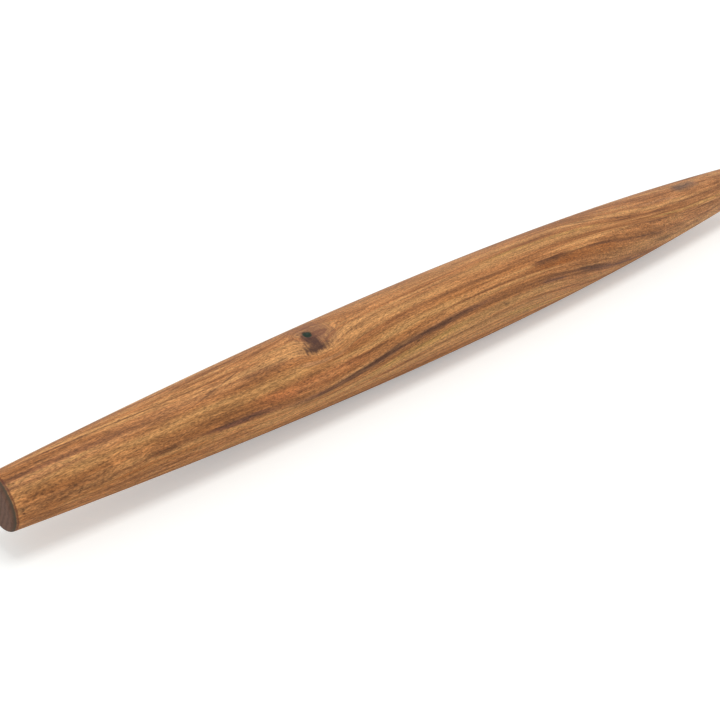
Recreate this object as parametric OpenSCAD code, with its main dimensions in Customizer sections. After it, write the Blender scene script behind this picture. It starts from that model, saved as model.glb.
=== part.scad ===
// French rolling pin: one solid piece of turned wood, thickest in the middle and
// tapering in one long curve to both ends, with no handles and no axle.
// It lies along X with +Z up. The origin is at the middle of the pin's length, on
// the axis that it was turned about.

/* [Pin] */
// Length from one end face to the other
pin_length = 508; // [400:1:560]
// Diameter at the middle, where the pin is thickest
middle_diameter = 40; // [32:0.5:50]

/* [Ends] */
// Diameter that the taper comes down to at each end face
end_diameter = 21; // [16:0.5:28]
// Radius that softens the edge round each end face
edge_radius = 2; // [0.5:0.1:5]

/* [Hidden] */

wood_colour = "#a7744d";

half_length = pin_length / 2;
middle_radius = middle_diameter / 2;
end_radius = end_diameter / 2;

// The taper is one circular arc from end to end. Its top is at the middle of the
// pin, and it meets the plane of each end face at the end radius.
taper_rise = middle_radius - end_radius;
taper_arc_radius = (half_length * half_length + taper_rise * taper_rise) / (2 * taper_rise);
taper_arc_centre = [middle_radius - taper_arc_radius, 0];

// The softened edge is an arc that runs into both the taper and the end face
edge_arc_along = half_length - edge_radius;
edge_reach = taper_arc_radius - edge_radius;
edge_arc_out = taper_arc_centre[0] + sqrt(edge_reach * edge_reach - edge_arc_along * edge_arc_along);
edge_arc_centre = [edge_arc_out, edge_arc_along];
taper_end_angle = asin(edge_arc_along / edge_reach);

// Straight steps that draw half of the taper's arc, and the edge's arc. At the
// sizes above they stray from the arcs by less than a hundredth of a millimetre.
taper_steps = 28;
edge_steps = 10;

// Points along an arc in the plane of the outline, where a point is
// [distance from the turning axis, distance along it]. An angle of 0 faces straight
// out from the axis, and 90 faces along it.
function arc_points(centre, radius, from, to, steps) = [
    for (i = [0:steps])
        let (angle = from + (to - from) * i / steps)
        [centre[0] + radius * cos(angle), centre[1] + radius * sin(angle)]
];

// The same points on the other half of the pin, in the opposite order
function other_half(points) = [
    for (i = [len(points) - 1:-1:0])
        [points[i][0], -points[i][1]]
];

// The first point of the edge's arc is the last of the taper's, so it is left out
function without_first(points) = [for (i = [1:len(points) - 1]) points[i]];

taper_points = arc_points(taper_arc_centre, taper_arc_radius, 0, taper_end_angle, taper_steps);
edge_points = without_first(arc_points(edge_arc_centre, edge_radius, taper_end_angle, 90, edge_steps));
half_points = concat(taper_points, edge_points);

// Half of the pin's section, from the turning axis out to its surface
module turned_outline() {
    polygon(concat(
        [[0, -half_length]],
        other_half(half_points),
        without_first(half_points),
        [[0, half_length]]
    ));
}

// The pin is one turned solid
module tapered_pin() {
    color(wood_colour)
    rotate([0, 90, 0])
    rotate_extrude($fn = 96)
    turned_outline();
}

tapered_pin();
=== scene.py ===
# %% [markdown]
# # A french rolling pin of oiled wood
#
# The real object is one stick of wood, turned on a lathe until it is thick in the
# middle and slim at both ends. It has no handles and no axle. This lesson loads
# the pin's measured solid, turns a finer copy of it, and then spends most of its
# cells on the wood: how the grain runs, the knot, the streaks, the pores and the
# darker end grain. Lengths are in metres, and a name that ends in _mm is in
# millimetres.

# %% Load the measured pin
import math

import bmesh
import bpy
from mathutils import Matrix, Vector, noise


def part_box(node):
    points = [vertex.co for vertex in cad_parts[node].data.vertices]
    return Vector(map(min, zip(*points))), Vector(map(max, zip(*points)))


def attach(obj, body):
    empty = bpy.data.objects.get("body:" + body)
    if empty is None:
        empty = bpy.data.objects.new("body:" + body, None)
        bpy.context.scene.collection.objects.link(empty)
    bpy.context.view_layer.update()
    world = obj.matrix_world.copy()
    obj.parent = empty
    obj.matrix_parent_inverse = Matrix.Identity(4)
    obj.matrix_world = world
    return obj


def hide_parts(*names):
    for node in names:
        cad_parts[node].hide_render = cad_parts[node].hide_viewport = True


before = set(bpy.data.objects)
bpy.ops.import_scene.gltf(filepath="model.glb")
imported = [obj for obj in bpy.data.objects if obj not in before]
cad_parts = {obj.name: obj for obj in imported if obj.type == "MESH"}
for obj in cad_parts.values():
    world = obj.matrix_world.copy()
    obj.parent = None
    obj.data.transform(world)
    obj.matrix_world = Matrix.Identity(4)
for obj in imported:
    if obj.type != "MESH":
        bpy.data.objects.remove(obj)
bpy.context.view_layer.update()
pin_low, pin_high = (Vector(corner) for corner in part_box("tapered_pin"))
print("the solid pin reaches from", tuple(pin_low), "to", tuple(pin_high))

# %% [markdown]
# ## The sizes that the shape is turned from
#
# The solid gives the pin's length and its middle diameter. The lathe needs three
# more sizes: how slim the ends are, how far their edges are softened, and the
# radius of the long curve that joins the middle to the ends. A circle through the
# middle and both ends gives that radius.

# %% Work out the outline
MM = 0.001

half_length = (pin_high.x - pin_low.x) / 2
middle_radius = (pin_high.z - pin_low.z) / 2
end_radius = 10.5 * MM
edge_radius = 2 * MM

taper_rise = middle_radius - end_radius
taper_radius = (half_length**2 + taper_rise**2) / (2 * taper_rise)
taper_centre = Vector((0, 0, middle_radius - taper_radius))

edge_x = half_length - edge_radius
edge_z = taper_centre.z + math.sqrt((taper_radius - edge_radius) ** 2 - edge_x**2)
taper_angle = math.asin(edge_x / (taper_radius - edge_radius))
print("taper radius", round(taper_radius, 3), "m")
print("the taper turns", round(math.degrees(taper_angle), 2), "degrees from the middle to each end")

# %% [markdown]
# ## The camera
#
# The photograph looks down at the pin from the side of its near end, which touches
# the left edge of the picture. The camera's place is written from the middle of the
# pin. Its turn and its lens were found by laying the pin's outline over the
# photograph until both edges agreed.

# %% Place the camera
CAMERA_PLACE = (-0.3718, -0.2941, 0.2046)
CAMERA_TURN = -44.515
CAMERA_DOWN = 27.142
LENS_MM = 52.53

camera_data = bpy.data.cameras.new("camera")
camera_data.lens = LENS_MM
camera_data.clip_start = 0.01
camera = bpy.data.objects.new("camera", camera_data)
camera.location = CAMERA_PLACE
camera.rotation_euler = (math.radians(90 - CAMERA_DOWN), 0, math.radians(CAMERA_TURN))
bpy.context.scene.collection.objects.link(camera)
bpy.context.scene.camera = camera
print("camera", round(camera.location.length, 3), "m from the middle of the pin")

# %% [markdown]
# ## Wiring nodes
#
# A material is a sheet of nodes with wires between them. Writing each wire by hand
# takes many lines, so these small helpers add a node, set its choices, and plug in
# either a number or the output of an earlier node. `calc` does one step of
# arithmetic, and `blend_colour` lays one colour over another.

# %% Helpers that add nodes
def plug(tree, socket, value):
    if isinstance(value, bpy.types.NodeSocket):
        tree.links.new(value, socket)
    else:
        socket.default_value = value


def add(tree, kind, inputs=(), **choices):
    node = tree.nodes.new(kind)
    for choice, value in choices.items():
        setattr(node, choice, value)
    for name, value in dict(inputs).items():
        plug(tree, node.inputs[name], value)
    return node


def calc(tree, step, *values, clamp=False):
    node = add(tree, "ShaderNodeMath", enumerate(values), operation=step, use_clamp=clamp)
    return node.outputs[0]


def remap(tree, value, low, high, to_low=0.0, to_high=1.0, smooth=False):
    inputs = {"Value": value, "From Min": low, "From Max": high, "To Min": to_low, "To Max": to_high}
    way = "SMOOTHSTEP" if smooth else "LINEAR"
    return add(tree, "ShaderNodeMapRange", inputs, interpolation_type=way).outputs[0]


def blend_colour(tree, factor, under, over, way="MIX"):
    inputs = {0: factor, 6: under, 7: over}
    return add(tree, "ShaderNodeMix", inputs, data_type="RGBA", blend_type=way).outputs[2]


def grain_noise(tree, place, along, across, detail=3.0, roughness=0.55, shift=0.0):
    stretch = {0: place, 1: (along, across, across)}
    stretched = add(tree, "ShaderNodeVectorMath", stretch, operation="MULTIPLY").outputs[0]
    moved = {0: stretched, 1: (shift, shift, shift)}
    moved = add(tree, "ShaderNodeVectorMath", moved, operation="ADD").outputs[0]
    inputs = {"Vector": moved, "Scale": 1.0, "Detail": detail, "Roughness": roughness}
    return add(tree, "ShaderNodeTexNoise", inputs).outputs[0]


def new_group(title, takes, gives):
    group = bpy.data.node_groups.new(title, "ShaderNodeTree")
    for name, kind, value in takes:
        socket = group.interface.new_socket(name, in_out="INPUT", socket_type=kind)
        if value is not None:
            socket.default_value = value
    for name, kind in gives:
        group.interface.new_socket(name, in_out="OUTPUT", socket_type=kind)
    return group, group.nodes.new("NodeGroupInput").outputs, group.nodes.new("NodeGroupOutput").inputs


def use_group(tree, group, inputs):
    node = add(tree, "ShaderNodeGroup", node_tree=group)
    for name, value in inputs.items():
        plug(tree, node.inputs[name], value)
    return node.outputs


VALUE = "NodeSocketFloat"
VECTOR = "NodeSocketVector"
print("node helpers ready")


# %% [markdown]
# ## Which way the grain runs
#
# Wood grain isn't straight. On this pin it runs along the wood on the left, rises
# a little towards the middle, and then dives round to the underside on the right,
# because the tree bent there. The places that matter are an angle round the pin,
# 0 at the top and 90 at the side that faces the viewer, and a distance along it.
#
# One way to bend a pattern is to add noise to its coordinates, which can't follow
# real wood. Here a few guide lines are drawn instead. Each is named by the angle that
# it gets once it lies straight, and says at which angle that layer of the wood shows,
# from the left end to the right, in millimetres and degrees. A group slides every
# point round the pin until the guides lie straight, and every later pattern is
# drawn in that straightened wood, so that it bends as the guides do.

# %% Draw the guide lines of the grain
GUIDES = {
    10: [
        (-254, -6), (-220, 4), (-190, 13), (-160, 15), (-120, 10), (-60, 8),
        (45, 11), (75, 20), (110, 35), (150, 45), (200, 50), (254, 54),
    ],
    40: [
        (-254, 40), (-200, 46), (-150, 51), (-110, 51), (-90, 44), (-60, 39), (0, 38),
        (60, 42), (100, 49), (140, 63), (165, 71), (200, 75), (254, 78),
    ],
    50: [
        (-254, 52), (-200, 57), (-110, 61), (-60, 51), (-30, 48),
        (40, 51), (65, 54), (105, 71), (150, 85), (200, 90), (254, 94),
    ],
    70: [
        (-254, 98), (-225, 94), (-190, 87), (-160, 89), (-130, 96), (-105, 89), (-65, 74),
        (-30, 69), (25, 72), (50, 81), (75, 93), (100, 108), (140, 122), (254, 132),
    ],
    95: [
        (-254, 120), (-130, 114), (-90, 107), (-60, 101), (0, 95),
        (20, 98), (60, 113), (100, 130), (254, 145),
    ],
}
GUIDE_LOW = -30
GUIDE_SPAN = 210
length_mm = 2 * half_length / MM


def guide_curve(tree, along_share, points):
    node = add(tree, "ShaderNodeFloatCurve", {"Value": along_share})
    curve = node.mapping.curves[0]
    places = []
    for x, angle in points:
        places.append(((x + length_mm / 2) / length_mm, (angle - GUIDE_LOW) / GUIDE_SPAN))
    curve.points[0].location = places[0]
    curve.points[1].location = places[-1]
    for place in places[1:-1]:
        curve.points.new(*place)
    node.mapping.update()
    return calc(tree, "MULTIPLY_ADD", node.outputs[0], GUIDE_SPAN, GUIDE_LOW)


print(len(GUIDES), "guide lines")

# %% [markdown]
# ## How the grain parts round the knot
#
# A knot is where a branch left the trunk. The fibres above and below it swing
# aside and close again behind it, more slowly on the right side here than on the
# left. The push is strongest at the knot's own sides and fades with distance.

# %% Build the group that straightens the grain
KNOT_ALONG_MM = -115.5
KNOT_AROUND = 8
KNOT_PUSH = 26
KNOT_MOST = 12
FADE_LEFT_MM = 4.5
FADE_RIGHT_MM = 8.0
FULL_PUSH_WITHIN = 24.0
NO_PUSH_PAST = 56.0
SIDES_PART_OVER = 7.0


def grain_flow_group():
    takes = [("Position", VECTOR, None)]
    gives = [("Straightened", VECTOR), ("Along", VALUE), ("Around", VALUE), ("Real around", VALUE)]
    tree, given, result = new_group("grain flow", takes, gives)
    apart = add(tree, "ShaderNodeSeparateXYZ", {0: given["Position"]}).outputs
    along = apart["X"]
    front = calc(tree, "MULTIPLY", apart["Y"], -1.0)
    turn = calc(tree, "ARCTAN2", front, apart["Z"])
    real_around = calc(tree, "DEGREES", turn)
    square = calc(tree, "MULTIPLY", apart["Y"], apart["Y"])
    radius = calc(tree, "SQRT", calc(tree, "MULTIPLY_ADD", apart["Z"], apart["Z"], square))

    beside = calc(tree, "SUBTRACT", along, KNOT_ALONG_MM)
    reach = remap(tree, beside, -1.0, 1.0, FADE_LEFT_MM, FADE_RIGHT_MM)
    past = calc(tree, "DIVIDE", calc(tree, "ABSOLUTE", beside), calc(tree, "MULTIPLY", reach, -1.0))
    fade = calc(tree, "EXPONENT", past)
    push = calc(tree, "MINIMUM", calc(tree, "MULTIPLY", fade, KNOT_PUSH), KNOT_MOST)
    below = calc(tree, "SUBTRACT", real_around, KNOT_AROUND)
    near = remap(tree, calc(tree, "ABSOLUTE", below), NO_PUSH_PAST, FULL_PUSH_WITHIN, smooth=True)
    side = calc(tree, "DIVIDE", below, SIDES_PART_OVER)
    side = calc(tree, "MINIMUM", calc(tree, "MAXIMUM", side, -1.0), 1.0)
    swing = calc(tree, "MULTIPLY", calc(tree, "MULTIPLY", push, near), side)
    around = calc(tree, "SUBTRACT", real_around, swing)

    share = remap(tree, along, -length_mm / 2, length_mm / 2)
    lines = [(-180.0, -180.0)]
    lines += [(label, guide_curve(tree, share, points)) for label, points in GUIDES.items()]
    lines += [(180.0, 180.0)]
    straight = -180.0
    for (label, line), (next_label, next_line) in zip(lines, lines[1:]):
        part = remap(tree, around, line, next_line, 0.0, float(next_label - label))
        straight = calc(tree, "ADD", straight, part)

    angle = calc(tree, "RADIANS", straight)
    y = calc(tree, "MULTIPLY", calc(tree, "MULTIPLY", calc(tree, "SINE", angle), radius), -1.0)
    z = calc(tree, "MULTIPLY", calc(tree, "COSINE", angle), radius)
    place = add(tree, "ShaderNodeCombineXYZ", {0: along, 1: y, 2: z}).outputs[0]
    plug(tree, result["Straightened"], place)
    plug(tree, result["Along"], along)
    plug(tree, result["Around"], straight)
    plug(tree, result["Real around"], real_around)
    return tree


grain_flow = grain_flow_group()
print("grain flow group has", len(grain_flow.nodes), "nodes")

# %% [markdown]
# ## One streak in the wood
#
# A dark line on the side of a pin is a layer of the tree that the lathe cut open.
# One group draws one such layer: it starts and ends at a distance along the pin,
# sits at an angle round it, may drift, and has a soft, frayed edge. The same group
# is then used once for every streak, each time with its own values.

# %% Build the streak group
FRAY_SPREAD = 9.0
FULL_WITHIN = 0.15
NONE_PAST = 1.25
TIP_SHARE = 0.22


def streak_group():
    takes = [("Along", VALUE, None), ("Around", VALUE, None), ("Fray", VALUE, 0.5), ("Start", VALUE, 0.0)]
    takes += [("End", VALUE, 1.0), ("Place", VALUE, 0.0), ("Drift", VALUE, 0.0), ("Half width", VALUE, 2.0)]
    tree, given, result = new_group("streak", takes, [("Mask", VALUE)])
    past = calc(tree, "SUBTRACT", given["Along"], given["Start"])
    middle = calc(tree, "MULTIPLY_ADD", past, given["Drift"], given["Place"])
    off = calc(tree, "SUBTRACT", given["Around"], middle)
    frayed = calc(tree, "MULTIPLY_ADD", calc(tree, "SUBTRACT", given["Fray"], 0.5), FRAY_SPREAD, off)
    share = calc(tree, "DIVIDE", calc(tree, "ABSOLUTE", frayed), given["Half width"])
    across = remap(tree, share, NONE_PAST, FULL_WITHIN, smooth=True)
    soft = calc(tree, "MULTIPLY", calc(tree, "SUBTRACT", given["End"], given["Start"]), TIP_SHARE)
    rises = calc(tree, "DIVIDE", past, soft, clamp=True)
    left = calc(tree, "SUBTRACT", given["End"], given["Along"])
    falls = calc(tree, "DIVIDE", left, soft, clamp=True)
    length = calc(tree, "MULTIPLY", rises, falls)
    plug(tree, result["Mask"], calc(tree, "MULTIPLY", across, length))
    return tree


streak = streak_group()
print("streak group has", len(streak.nodes), "nodes")

# %% [markdown]
# ## The streaks of this pin
#
# Each row is one layer: its tone, how strongly it shows, where it starts and ends
# along the pin, its angle in the straightened wood, how much it drifts for each
# millimetre, and half its width in degrees. The layers go through the wood, so
# each one comes out again at the back, and the angle is counted both ways from a
# line just behind the top of the pin.

# %% List the streaks
LAYER_AXIS = -20
STREAKS = [
    ("light", 0.50, -275, -110, 46, 0, 9.0),
    ("light", 0.60, -210, -112, 43, 0, 8.0),
    ("light", 0.65, -125, -20, 51, 0, 6.5),
    ("light", 0.40, -120, -20, 30, 0, 6.0),
    ("light", 0.50, -45, 100, 23, 0, 7.5),
    ("light", 0.65, -60, 45, 84, 0, 7.0),
    ("light", 0.45, -130, -50, 88, 0, 6.0),
    ("light", 0.35, 60, 190, 60, 0, 8.0),
    ("deep", 0.70, 8, 110, 55, 0, 6.5),
    ("deep", 0.45, -60, 30, 46, 0, 4.0),
    ("deep", 0.55, -275, -165, 76, 0, 6.5),
    ("dark", 0.60, -262, -146, 10, 0, 1.8),
    ("dark", 0.30, -60, 55, 10, 0, 1.6),
    ("dark", 0.55, -54, -8, 20.7, 0, 1.5),
    ("gold", 0.55, -20, 100, 17.5, 0, 4.0),
    ("brown", 0.55, -112, -56, 40, 0, 2.6),
    ("dark", 0.45, -66, 14, 40, 0, 1.8),
    ("dark", 0.75, 98, 222, 40, 0, 1.5),
    ("brown", 0.60, -116, -74, 56, 0, 2.5),
    ("dark", 0.50, -62, 40, 56.8, 0, 1.6),
    ("brown", 1.00, 16, 52, 49, 0, 4.6),
    ("dark", 0.75, 22, 42, 49, 0, 3.2),
    ("dark", 0.75, 44, 136, 50, 0, 1.4),
    ("purple", 0.75, -148, -2, 70, 0, 4.4),
    ("dark", 0.95, -128, -12, 70, 0, 3.0),
    ("dark", 0.50, -30, 40, 70, 0, 1.8),
    ("dark", 0.80, 18, 86, 70, 0, 2.0),
    ("purple", 0.70, 52, 140, 73, 0, 4.0),
    ("purple", 0.55, 20, 46, 75, 0, 3.0),
    ("brown", 0.55, -104, -52, 95, 0, 3.2),
    ("brown", 0.50, -58, -22, 94, 0, 2.6),
    ("dark", 0.45, -34, 44, 95, 0, 1.8),
    ("gold", 0.75, -100, -28, 84, -0.02, 4.4),
    ("gold", 0.65, -12, 56, 100, 0.25, 4.0),
    ("dark", 0.60, 60, 122, -1, 0.2, 1.8),
    ("dark", 0.75, 88, 156, 16, -0.01, 1.9),
    ("brown", 0.45, 96, 150, 11, 0, 3.6),
    ("pale", 0.55, 112, 168, -5, 0.06, 3.0),
    ("grey", 0.70, 164, 196, -20, 0, 13.0),
    ("gold", 0.65, 118, 232, 30, 0, 3.6),
    ("brown", 0.70, 132, 268, 10, 0, 5.2),
    ("brown", 0.60, 198, 268, 40, 0, 3.2),
    ("brown", 0.60, -272, -198, 27.5, 0, 3.6),
    ("gold", 0.40, -262, -214, 34, 0, 2.4),
    ("dark", 0.65, -182, -148, 33.5, -0.75, 1.6),
    ("dark", 0.50, -158, -130, 25, 0, 3.2),
    ("brown", 0.40, -270, -176, 40, 0, 2.4),
    ("dark", 0.45, -270, -214, 62, 0, 1.6),
    ("brown", 0.75, -236, -128, 67, -0.01, 4.2),
    ("purple", 0.50, -180, -140, 67, 0, 3.6),
    ("orange", 0.65, -158, -88, 57, 0, 6.5),
    ("pale", 0.60, -130, -102, 38, 0.1, 3.0),
    ("dark", 0.40, 124, 210, 52, 0, 1.6),
    ("dark", 0.35, 126, 206, 60, 0, 1.8),
]
print(len(STREAKS), "streaks")

# %% [markdown]
# ## Fibres and pores
#
# Close up, the wood is a mass of thin fibres, with open pores cut lengthwise into
# short dark dashes. Both are noise that is pulled out along the grain. The fibres
# lighten and darken the colour, and the pores darken it and sink into the surface.
# Each noise is five numbers: how fine it is along and across the grain, per
# millimetre, its detail and roughness, and a shift that keeps it unlike the others.

# %% Build the fibre and pore group
LONG_FIBRES = (0.02, 1.1, 4.0, 0.6, 3.0)
SHORT_FIBRES = (0.15, 2.8, 3.0, 0.7, 11.0)
FLECKS = (0.65, 3.6, 2.0, 0.65, 23.0)
PORES = (0.45, 4.2, 2.0, 0.5, 37.0)
SHORT_SHARE = 0.7
PORE_FROM = 0.60
PORE_FULL = 0.72
FIBRE_RISE = 0.35
PORE_SINK = -0.6


def fibre_group():
    takes = [("Straightened", VECTOR, None)]
    gives = [("Fibres", VALUE), ("Flecks", VALUE), ("Pores", VALUE), ("Height", VALUE)]
    tree, given, result = new_group("fibres and pores", takes, gives)
    place = given["Straightened"]
    long_fibres = grain_noise(tree, place, *LONG_FIBRES)
    short_fibres = grain_noise(tree, place, *SHORT_FIBRES)
    flecks = grain_noise(tree, place, *FLECKS)
    holes = grain_noise(tree, place, *PORES)
    fibres = calc(tree, "MULTIPLY_ADD", calc(tree, "SUBTRACT", short_fibres, 0.5), SHORT_SHARE, long_fibres)
    pores = remap(tree, holes, PORE_FROM, PORE_FULL, smooth=True)
    sunk = calc(tree, "MULTIPLY", pores, PORE_SINK)
    height = calc(tree, "MULTIPLY_ADD", short_fibres, FIBRE_RISE, sunk)
    plug(tree, result["Fibres"], fibres)
    plug(tree, result["Flecks"], flecks)
    plug(tree, result["Pores"], pores)
    plug(tree, result["Height"], height)
    return tree


fibres_and_pores = fibre_group()
print("fibre group has", len(fibres_and_pores.nodes), "nodes")

# %% [markdown]
# ## The knot
#
# The knot is darkest where the branch's heart rotted out: a small hole with a
# green-black rim, near the top of the pin. Round it lies a bell of dark brown wood
# that widens towards the viewer, and a paler halo. The bell is kept off the knot's
# upper part, which shows only the paler halo tone: there it is partly painted sheen,
# the lighter look of the knot where light grazes it. Each of them is an oval, given
# by its place along and round the pin and its half sizes that way, in millimetres and
# degrees. Noise frays the ovals, drawn out round the pin as the branch's fibres are.

# %% Build the knot group
NECK = (-116.5, 22, 3.4, 18.0)
FOOT = (-117.5, 34, 7.5, 8.0)
HAZE_AND_SHEEN = (-112.5, 10, 11.0, 34.0)
HOLE = (KNOT_ALONG_MM, KNOT_AROUND, 2.2, 7.5)
RAGGED_SCALE = 0.55
RAYS = (1.1, 0.22, 4.0, 0.65)
RAY_STRENGTH = 1.8


def oval(tree, along, around, place, angle, half_along, half_around):
    a = calc(tree, "DIVIDE", calc(tree, "SUBTRACT", along, place), half_along)
    b = calc(tree, "DIVIDE", calc(tree, "SUBTRACT", around, angle), half_around)
    return calc(tree, "SQRT", calc(tree, "MULTIPLY_ADD", a, a, calc(tree, "MULTIPLY", b, b)))


def knot_group():
    takes = [("Along", VALUE, None), ("Real around", VALUE, None), ("Position", VECTOR, None)]
    tree, given, result = new_group("knot", takes, [("Dark wood", VALUE), ("Haze and sheen", VALUE), ("Hole", VALUE)])
    along = given["Along"]
    around = given["Real around"]
    inputs = {"Vector": given["Position"], "Scale": RAGGED_SCALE, "Detail": 4.0}
    ragged = add(tree, "ShaderNodeTexNoise", inputs).outputs[0]
    ragged = calc(tree, "SUBTRACT", ragged, 0.5)
    rays = grain_noise(tree, given["Position"], *RAYS)
    rays = calc(tree, "MULTIPLY_ADD", calc(tree, "SUBTRACT", rays, 0.5), RAY_STRENGTH, ragged)
    neck = oval(tree, along, around, *NECK)
    foot = oval(tree, along, around, *FOOT)
    bell = calc(tree, "SMOOTH_MIN", neck, foot, 0.35)
    bell = calc(tree, "MULTIPLY_ADD", rays, 0.9, bell)
    # paler halo round the knot: real wood tone, but on the knot's upper part it is partly painted sheen
    haze_and_sheen = oval(tree, along, around, *HAZE_AND_SHEEN)
    haze_and_sheen = calc(tree, "MULTIPLY_ADD", rays, 0.6, haze_and_sheen)
    hole = oval(tree, along, around, *HOLE)
    hole = calc(tree, "MULTIPLY_ADD", ragged, 0.6, hole)
    plug(tree, result["Dark wood"], remap(tree, bell, 1.45, 0.35, smooth=True))
    plug(tree, result["Haze and sheen"], remap(tree, haze_and_sheen, 1.25, 0.25, smooth=True))
    plug(tree, result["Hole"], remap(tree, hole, 1.15, 0.6, smooth=True))
    return tree


knot = knot_group()
print("knot group has", len(knot.nodes), "nodes")

# %% [markdown]
# ## The end grain
#
# At each end the saw cut across the fibres. Cut ends drink more oil, so they are
# darker and duller, and they show the year rings as arcs and the pores as dots.
# The change starts where the long taper turns into the softened edge, and a thin
# red-brown line marks it. The rings' heart lies outside the pin, as it does in a stick
# that was split from a thick trunk.

# %% Build the end grain group
RING_HEART_Y = 26.0
RING_HEART_Z = 14.0
RING_RATE = 2.6
RING_WANDER = 2.4
EDGE_WANDER = 0.5
FACE_EDGE_MM = 1.1


def end_grain_group():
    takes = [("Position", VECTOR, None)]
    gives = [("Cut end", VALUE), ("Line", VALUE), ("Rings", VALUE), ("Dots", VALUE), ("Flat", VALUE)]
    tree, given, result = new_group("end grain", takes, gives)
    apart = add(tree, "ShaderNodeSeparateXYZ", {0: given["Position"]}).outputs
    out = calc(tree, "ABSOLUTE", apart["X"])
    turn_mm = edge_x / MM
    inputs = {"Vector": given["Position"], "Scale": 0.5, "Detail": 3.0}
    wander = add(tree, "ShaderNodeTexNoise", inputs).outputs[0]
    wander = calc(tree, "SUBTRACT", wander, 0.5)
    reach = calc(tree, "MULTIPLY_ADD", wander, EDGE_WANDER, out)
    cut = remap(tree, reach, turn_mm + 0.1, turn_mm + 0.9, smooth=True)
    beside = calc(tree, "ABSOLUTE", calc(tree, "SUBTRACT", reach, turn_mm + 0.1))
    line = remap(tree, beside, 0.55, 0.05, smooth=True)

    heart = calc(tree, "SUBTRACT", apart["Y"], RING_HEART_Y)
    height = calc(tree, "SUBTRACT", apart["Z"], RING_HEART_Z)
    square = calc(tree, "MULTIPLY", heart, heart)
    from_heart = calc(tree, "SQRT", calc(tree, "MULTIPLY_ADD", height, height, square))
    bent = calc(tree, "MULTIPLY_ADD", wander, RING_WANDER, from_heart)
    rings = calc(tree, "SINE", calc(tree, "MULTIPLY", bent, RING_RATE))
    rings = remap(tree, rings, -0.2, 1.0, smooth=True)
    inputs = {0: given["Position"], 1: (0.3, 1.0, 1.0)}
    drawn_out = add(tree, "ShaderNodeVectorMath", inputs, operation="MULTIPLY").outputs[0]
    inputs = {"Vector": drawn_out, "Scale": 1.7}
    dots = add(tree, "ShaderNodeTexVoronoi", inputs, feature="F1").outputs["Distance"]
    dots = remap(tree, dots, 0.30, 0.12, smooth=True)
    level = remap(tree, out, half_length / MM - FACE_EDGE_MM, half_length / MM - 0.05, smooth=True)
    found = (("Cut end", cut), ("Line", line), ("Rings", rings), ("Dots", dots), ("Flat", level))
    for name, value in found:
        plug(tree, result[name], value)
    return tree


end_grain = end_grain_group()
print("end grain group has", len(end_grain.nodes), "nodes")

# %% [markdown]
# ## Tones of the wood
#
# The tones are written as the hex colours that a paint program shows, and turned
# into the linear numbers that Blender works in.

# %% Name the tones
def tone(hex_code):
    parts = [int(hex_code[i : i + 2], 16) / 255 for i in (0, 2, 4)]
    return tuple(c / 12.92 if c <= 0.04045 else ((c + 0.055) / 1.055) ** 2.4 for c in parts) + (1.0,)


LIGHT_WOOD = tone("d0955a")
MIDDLE_WOOD = tone("b87a46")
DEEP_WOOD = tone("a06636")
TONES = {
    "light": tone("d8a263"),
    "deep": tone("98561f"),
    "dark": tone("5f3820"),
    "brown": tone("7f4a26"),
    "purple": tone("5c3c36"),
    "gold": tone("cd9c56"),
    "orange": tone("bb7040"),
    "pale": tone("cc9264"),
    "grey": tone("5d4c42"),
}
KNOT_WOOD = tone("42231d")
# Paler purple-brown halo round the knot; on the knot's upper part it is partly painted sheen where light
# grazes it.
KNOT_HAZE_AND_SHEEN = tone("744a3c")
HOLE_RIM = tone("1c3020")
END_WOOD = tone("785645")
END_RING = tone("694a3b")
END_ROUNDING = tone("56483a")
EDGE_LINE = tone("5e2c1c")
PORE = tone("4a2a18")
print(len(TONES), "streak tones")

# %% [markdown]
# ## The oiled wood
#
# The material lays its parts over each other, as they lie in the wood: the broad
# light and dark of the plank, the streaks, the fibres, the pores, the knot and the
# cut ends. The oil leaves a soft satin gloss, a little duller in the pores and much
# duller on the end grain. The surface's fine relief comes from the same fibres and
# pores, so the light and the colour agree.

# %% Make the oiled wood
BROAD_LIGHT = (0.006, 0.13, 3.0, 0.6, 5.0)
BANDS = (0.008, 0.45, 4.0, 0.65, 17.0)
BAND_SHARE = 1.1
FRAY = (0.03, 0.9, 4.0, 0.65, 29.0)
PATCHES = (0.05, 0.5, 3.0, 0.6, 41.0)
LAID_OVER = ("light", "deep", "gold", "pale", "orange", "brown", "purple", "grey", "dark")
RELIEF_DEPTH = 0.05 * MM
OIL_IOR = 1.46
OIL_SHINE = 0.35


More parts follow.
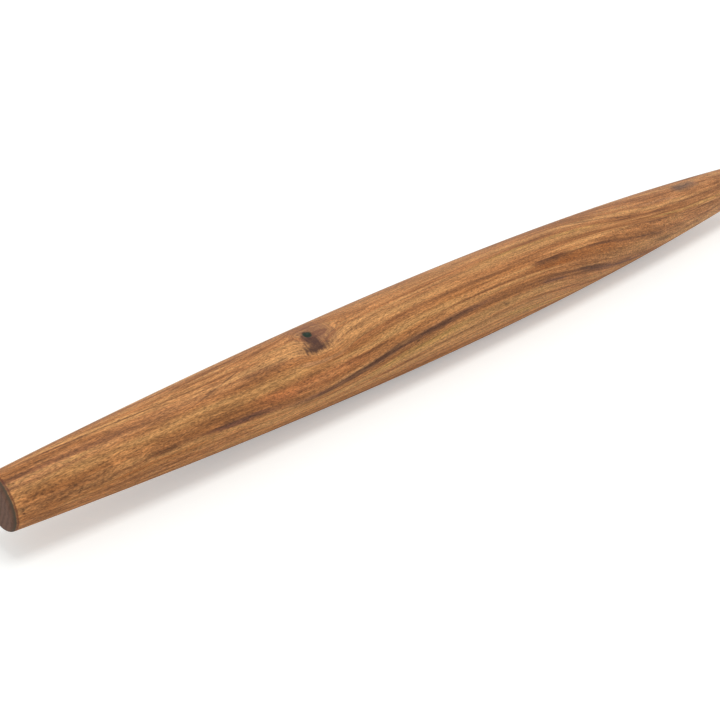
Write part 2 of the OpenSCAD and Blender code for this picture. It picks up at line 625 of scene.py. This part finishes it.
def oiled_wood():
    material = bpy.data.materials.new("oiled_wood")
    material.use_nodes = True
    tree = material.node_tree
    tree.nodes.clear()
    metres = add(tree, "ShaderNodeTexCoord").outputs["Object"]
    position = add(tree, "ShaderNodeVectorMath", {0: metres, "Scale": 1 / MM}, operation="SCALE").outputs[0]
    flow = use_group(tree, grain_flow, {"Position": position})
    straight = flow["Straightened"]
    fine = use_group(tree, fibres_and_pores, {"Straightened": straight})

    broad = grain_noise(tree, straight, *BROAD_LIGHT)
    bands = grain_noise(tree, straight, *BANDS)
    light = calc(tree, "MULTIPLY_ADD", calc(tree, "SUBTRACT", bands, 0.5), BAND_SHARE, broad)
    deep_or_middle = remap(tree, light, 0.34, 0.50, smooth=True)
    middle_or_light = remap(tree, light, 0.48, 0.68, smooth=True)
    colour = blend_colour(tree, deep_or_middle, DEEP_WOOD, MIDDLE_WOOD)
    colour = blend_colour(tree, middle_or_light, colour, LIGHT_WOOD)

    fray = grain_noise(tree, straight, *FRAY)
    patches = grain_noise(tree, straight, *PATCHES)
    patches = remap(tree, patches, 0.30, 0.60, 0.45, 1.1)
    from_axis = calc(tree, "RADIANS", calc(tree, "SUBTRACT", flow["Around"], LAYER_AXIS))
    layer = calc(tree, "DEGREES", calc(tree, "ARCCOSINE", calc(tree, "COSINE", from_axis)))
    masks = {}
    for name, strength, start, end, place, drift, half_width in STREAKS:
        inputs = {"Along": flow["Along"], "Around": layer, "Fray": fray, "Start": start, "End": end}
        inputs |= {"Place": place - LAYER_AXIS, "Drift": drift, "Half width": half_width}
        mask = calc(tree, "MULTIPLY", use_group(tree, streak, inputs)["Mask"], strength)
        masks[name] = calc(tree, "MAXIMUM", masks[name], mask) if name in masks else mask
    for name in LAID_OVER:
        shown = calc(tree, "MULTIPLY", masks[name], patches, clamp=True)
        colour = blend_colour(tree, shown, colour, TONES[name])

    lighter = remap(tree, fine["Fibres"], 0.28, 0.72, 0.60, 1.40)
    colour = blend_colour(tree, 1.0, colour, lighter, "MULTIPLY")
    flecked = remap(tree, fine["Flecks"], 0.32, 0.68, 0.56, 1.44)
    colour = blend_colour(tree, 1.0, colour, flecked, "MULTIPLY")
    colour = blend_colour(tree, calc(tree, "MULTIPLY", fine["Pores"], 0.6), colour, PORE)

    inputs = {"Along": flow["Along"], "Real around": flow["Real around"], "Position": position}
    branch = use_group(tree, knot, inputs)
    # Painted sheen in part: the knot's upper part keeps this paler halo tone instead of the dark wood.
    colour = blend_colour(tree, calc(tree, "MULTIPLY", branch["Haze and sheen"], 0.7), colour, KNOT_HAZE_AND_SHEEN)
    colour = blend_colour(tree, calc(tree, "MULTIPLY", branch["Dark wood"], 0.85), colour, KNOT_WOOD)
    colour = blend_colour(tree, branch["Hole"], colour, HOLE_RIM)

    ends = use_group(tree, end_grain, {"Position": position})
    end_colour = blend_colour(tree, ends["Rings"], END_WOOD, END_RING)
    end_colour = blend_colour(tree, calc(tree, "MULTIPLY", ends["Dots"], 0.3), end_colour, PORE)
    end_colour = blend_colour(tree, ends["Flat"], END_ROUNDING, end_colour)
    colour = blend_colour(tree, ends["Cut end"], colour, end_colour)
    colour = blend_colour(tree, calc(tree, "MULTIPLY", ends["Line"], 0.75), colour, EDGE_LINE)

    gloss = remap(tree, fine["Fibres"], 0.3, 0.7, 0.56, 0.46)
    gloss = calc(tree, "MULTIPLY_ADD", fine["Pores"], 0.15, gloss)
    gloss = calc(tree, "MULTIPLY_ADD", ends["Cut end"], 0.18, gloss)
    relief = calc(tree, "MULTIPLY_ADD", branch["Hole"], -2.0, fine["Height"])
    inputs = {"Height": relief, "Distance": RELIEF_DEPTH, "Strength": 0.5}
    bump = add(tree, "ShaderNodeBump", inputs).outputs[0]
    inputs = {"Base Color": colour, "Roughness": gloss, "Normal": bump}
    shader = add(tree, "ShaderNodeBsdfPrincipled", inputs)
    shader.inputs["IOR"].default_value = OIL_IOR
    shader.inputs["Specular IOR Level"].default_value = OIL_SHINE
    surface = add(tree, "ShaderNodeOutputMaterial")
    tree.links.new(shader.outputs[0], surface.inputs["Surface"])
    return material


oiled = oiled_wood()
print("oiled wood has", len(oiled.node_tree.nodes), "nodes")

# %% [markdown]
# ## Turning the pin
#
# A lathe makes this shape by spinning the wood against a tool. The same can be
# done here with three spins. One vertex swung about the far centre of the taper
# draws the long curve, a second swing rounds each edge, and the finished outline
# is spun about the pin's own axis. A cylinder with bent sides would need its rings
# moved one by one, while the spins put every point on the true curve.

# %% Spin the outline and then the pin
TAPER_STEPS = 240
EDGE_STEPS = 10
FACE_STEPS = 6
ROUND_STEPS = 160


def turned_mesh():
    form = bmesh.new()
    start = Vector((-math.sin(taper_angle), 0, math.cos(taper_angle))) * taper_radius + taper_centre
    first = form.verts.new(start)
    across = Vector((0, 1, 0))
    swing = bmesh.ops.spin(
        form,
        geom=[first],
        cent=taper_centre,
        axis=across,
        angle=2 * taper_angle,
        steps=TAPER_STEPS,
    )
    last = swing["geom_last"][0]
    edge_angle = math.pi / 2 - taper_angle
    for end, corner in ((1, last), (-1, first)):
        centre = Vector((end * edge_x, 0, edge_z))
        bend = bmesh.ops.spin(
            form,
            geom=[corner],
            cent=centre,
            axis=across,
            angle=end * edge_angle,
            steps=EDGE_STEPS,
        )
        rim = bend["geom_last"][0]
        step = Vector((0, 0, -rim.co.z / FACE_STEPS))
        for _ in range(FACE_STEPS):
            grown = bmesh.ops.extrude_vert_indiv(form, verts=[rim])
            rim = grown["verts"][0]
            bmesh.ops.translate(form, verts=[rim], vec=step)
    bmesh.ops.spin(
        form,
        geom=form.verts[:] + form.edges[:],
        cent=(0, 0, 0),
        axis=(1, 0, 0),
        angle=2 * math.pi,
        steps=ROUND_STEPS,
        use_merge=True,
    )
    bmesh.ops.remove_doubles(form, verts=form.verts, dist=0.01 * MM)
    bmesh.ops.recalc_face_normals(form, faces=form.faces)
    return form


form = turned_mesh()
print("turned form:", len(form.verts), "vertices,", len(form.faces), "faces")

# %% [markdown]
# ## The hole in the knot
#
# The knot's heart is a real hole, so it is cut into the mesh and not only painted.
# The faces round it are divided until they are fine enough, and each vertex inside
# the oval then sinks towards the axis, deepest in the middle, with a little noise
# for the torn wood. The wood round the knot also sank slightly as it dried.

# %% Sink the knot
HOLE_DEPTH = 0.9 * MM
DISH_DEPTH = 0.12 * MM
FINE_REACH = (6.0, 22.0)
DISH_REACH = (9.0, 30.0)
HOLE_REACH = HOLE[2:]
TORN = 0.25
TORN_FINENESS = 900


def around_of(point):
    return math.degrees(math.atan2(-point.y, point.z))


def knot_reach(point, half_along, half_around):
    a = (point.x / MM - KNOT_ALONG_MM) / half_along
    b = (around_of(point) - KNOT_AROUND) / half_around
    return math.hypot(a, b)


def sink_knot(form):
    near = [edge for edge in form.edges if all(knot_reach(v.co, *FINE_REACH) < 1 for v in edge.verts)]
    bmesh.ops.subdivide_edges(form, edges=near, cuts=3, use_grid_fill=True)
    sunk = 0
    for vertex in form.verts:
        dish = max(0.0, 1 - knot_reach(vertex.co, *DISH_REACH))
        if dish == 0:
            continue
        torn = TORN * noise.noise(vertex.co * TORN_FINENESS)
        pit = max(0.0, 1.1 - knot_reach(vertex.co, *HOLE_REACH) + torn)
        inward = Vector((0, -vertex.co.y, -vertex.co.z)).normalized()
        depth = DISH_DEPTH * dish**2 * (3 - 2 * dish) + HOLE_DEPTH * min(1.0, pit)
        vertex.co += inward * depth
        sunk += 1
    return sunk


print("knot moved", sink_knot(form), "vertices")

# %% [markdown]
# ## Putting the pin in place
#
# The turned copy stands for the measured solid, which is hidden. The turned copy
# stands for the measured solid, which keeps doing the weighing and the touching.
# It moves with the pin's only body, and takes the oiled wood.

# %% Make the piece
pin_mesh = bpy.data.meshes.new("tapered_pin_wood")
form.to_mesh(pin_mesh)
form.free()
pin_mesh.shade_smooth()
pin_mesh.materials.append(oiled)
pin = bpy.data.objects.new("tapered_pin_wood", pin_mesh)
bpy.context.scene.collection.objects.link(pin)
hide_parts("tapered_pin")
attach(pin, "root")
print("pin mesh has", len(pin_mesh.polygons), "faces")

# %% [markdown]
# ## The white floor
#
# The photograph was taken on white, where only a soft shadow shows the ground. The
# floor is matt white, and the camera sees it a little brighter than it is, so that
# it reaches pure white and still keeps the pin's shadow. Far from the pin the soft
# box lights it less, so the added glow grows with distance, and no horizon shows.

# %% Lay the floor
FLOOR_SIZE = 6.0
NEAR_GLOW = 0.33
FAR_GLOW = 0.62
NEAR_END = 0.35
FAR_START = 1.1
FLOOR_WHITE = (0.81, 0.83, 0.815, 1.0)


def white_floor():
    material = bpy.data.materials.new("white_floor")
    material.use_nodes = True
    tree = material.node_tree
    tree.nodes.clear()
    matt = add(tree, "ShaderNodeBsdfDiffuse", {"Color": FLOOR_WHITE}).outputs[0]
    glow = add(tree, "ShaderNodeEmission", {"Color": (1.0, 1.0, 0.995, 1.0)})
    seen = add(tree, "ShaderNodeLightPath").outputs["Is Camera Ray"]
    place = add(tree, "ShaderNodeTexCoord").outputs["Object"]
    away = add(tree, "ShaderNodeVectorMath", {0: place}, operation="LENGTH").outputs["Value"]
    brighter = remap(tree, away, NEAR_END, FAR_START, NEAR_GLOW, FAR_GLOW, smooth=True)
    plug(tree, glow.inputs["Strength"], calc(tree, "MULTIPLY", seen, brighter))
    both = add(tree, "ShaderNodeAddShader", {0: matt, 1: glow.outputs[0]}).outputs[0]
    surface = add(tree, "ShaderNodeOutputMaterial")
    tree.links.new(both, surface.inputs["Surface"])
    return material


slab = bmesh.new()
bmesh.ops.create_grid(slab, x_segments=1, y_segments=1, size=FLOOR_SIZE)
bmesh.ops.translate(slab, verts=slab.verts, vec=(0, 0, pin_low.z))
floor_mesh = bpy.data.meshes.new("floor")
slab.to_mesh(floor_mesh)
slab.free()
floor_mesh.materials.append(white_floor())
floor = bpy.data.objects.new("floor", floor_mesh)
bpy.context.scene.collection.objects.link(floor)
print("floor at height", round(pin_low.z, 4))

# %% [markdown]
# ## The light
#
# The shadow lies straight under the pin and is soft at its edge, so the photograph's
# light is a wide soft box overhead, in a white room. A square area lamp is the
# soft box, and the world is the room. The camera sees the world as plain white.

# %% Light the scene
ROOM_LIGHT = 0.64
BOX_SIZE = 1.0
BOX_PLACE = (0, -0.42, 2.6)
BOX_WATTS = 23.0

world = bpy.data.worlds.new("white_room")
bpy.context.scene.world = world
world.use_nodes = True
sheet = world.node_tree
sheet.nodes.clear()
seen = add(sheet, "ShaderNodeLightPath").outputs["Is Camera Ray"]
room = remap(sheet, seen, 0.0, 1.0, ROOM_LIGHT, 1.0)
background = add(sheet, "ShaderNodeBackground", {"Color": (1.0, 1.0, 1.0, 1.0), "Strength": room})
sheet.links.new(background.outputs[0], add(sheet, "ShaderNodeOutputWorld").inputs["Surface"])

box_data = bpy.data.lights.new("soft_box", "AREA")
box_data.shape = "SQUARE"
box_data.size = BOX_SIZE
box_data.energy = BOX_WATTS
box = bpy.data.objects.new("soft_box", box_data)
box.matrix_world = Matrix.Translation(BOX_PLACE)
bpy.context.scene.collection.objects.link(box)
bpy.context.scene.view_settings.view_transform = "Standard"
print("room light", ROOM_LIGHT, "and soft box", BOX_WATTS, "watts")
